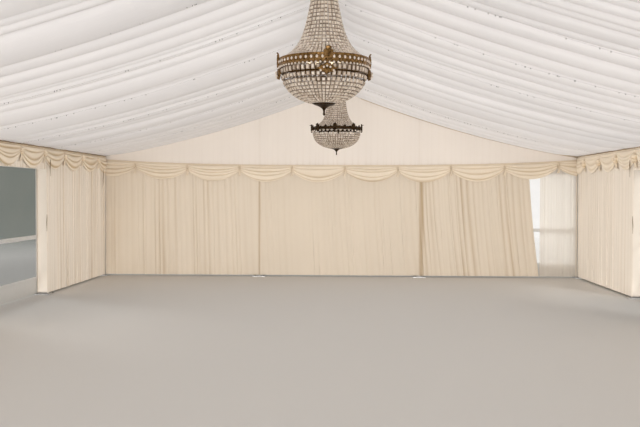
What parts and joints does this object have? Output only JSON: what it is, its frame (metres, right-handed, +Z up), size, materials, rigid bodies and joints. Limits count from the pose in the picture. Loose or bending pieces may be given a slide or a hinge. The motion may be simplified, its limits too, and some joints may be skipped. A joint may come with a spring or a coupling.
{
  "type": "frame marquee",
  "caption": "Clear-span frame marquee with a pitched coated roof, clear window walls, pleated and swagged linings, and crystal chandeliers hung from the ridge.",
  "frame": {"origin": "on the ground under the middle of the tent", "axes": "+X across the tent, +Y along the ridge towards the far gable, whose lining is parted on its right; the doorway is in the near gable at -Y; +Z up"},
  "size_m": [9.2432, 18.24, 3.7561],
  "materials": {
    "frame_metal": "mill, slightly dulled",
    "coated_fabric": "white coated polyester, semi-gloss",
    "clear_sheet": "clear flexible sheet, slightly wavy",
    "white_lining": "pleated polyester, matt",
    "ivory_lining": "pleated polyester, matt",
    "swag_cloth": "draped polyester, soft sheen",
    "crystal": "cut crystal beads on wire",
    "ring_metal": "aged, pierced band"
  },
  "bodies": {
    "root": {"portal_frame_1": "frame_metal", "portal_frame_2": "frame_metal", "portal_frame_3": "frame_metal", "portal_frame_4": "frame_metal", "portal_frame_5": "frame_metal", "portal_frame_6": "frame_metal", "portal_frame_7": "frame_metal", "gable_post_near_left": "frame_metal", "gable_post_near_right": "frame_metal", "gable_post_far_left": "frame_metal", "gable_post_far_right": "frame_metal", "eave_rail_left": "frame_metal", "eave_rail_right": "frame_metal", "ridge_rail": "frame_metal", "roof_section_1": "coated_fabric", "roof_section_2": "coated_fabric", "roof_section_3": "coated_fabric", "roof_section_4": "coated_fabric", "roof_section_5": "coated_fabric", "roof_section_6": "coated_fabric", "side_wall_left": "coated_fabric", "side_wall_right": "coated_fabric", "gable_wall_near": "coated_fabric", "gable_wall_far": "coated_fabric", "window_left_2": "clear_sheet", "window_left_5": "clear_sheet", "window_right_2": "clear_sheet", "window_right_5": "clear_sheet", "window_near_left": "clear_sheet", "window_near_right": "clear_sheet", "window_far_left": "clear_sheet", "window_far_right": "clear_sheet", "roof_lining_left": "white_lining", "roof_lining_right": "white_lining", "wall_lining_left": "ivory_lining", "wall_lining_right": "ivory_lining", "wall_lining_near": "ivory_lining", "wall_lining_far": "ivory_lining", "gable_lining_near": "ivory_lining", "gable_lining_far": "ivory_lining", "pelmet_left": "swag_cloth", "pelmet_right": "swag_cloth", "pelmet_near": "swag_cloth", "pelmet_far": "swag_cloth", "chandelier_near_strands": "crystal", "chandelier_near_ring": "ring_metal", "chandelier_near_bowl": "crystal", "chandelier_centre_strands": "crystal", "chandelier_centre_ring": "ring_metal", "chandelier_centre_bowl": "crystal", "chandelier_far_strands": "crystal", "chandelier_far_ring": "ring_metal", "chandelier_far_bowl": "crystal"}
  },
  "joints": []
}
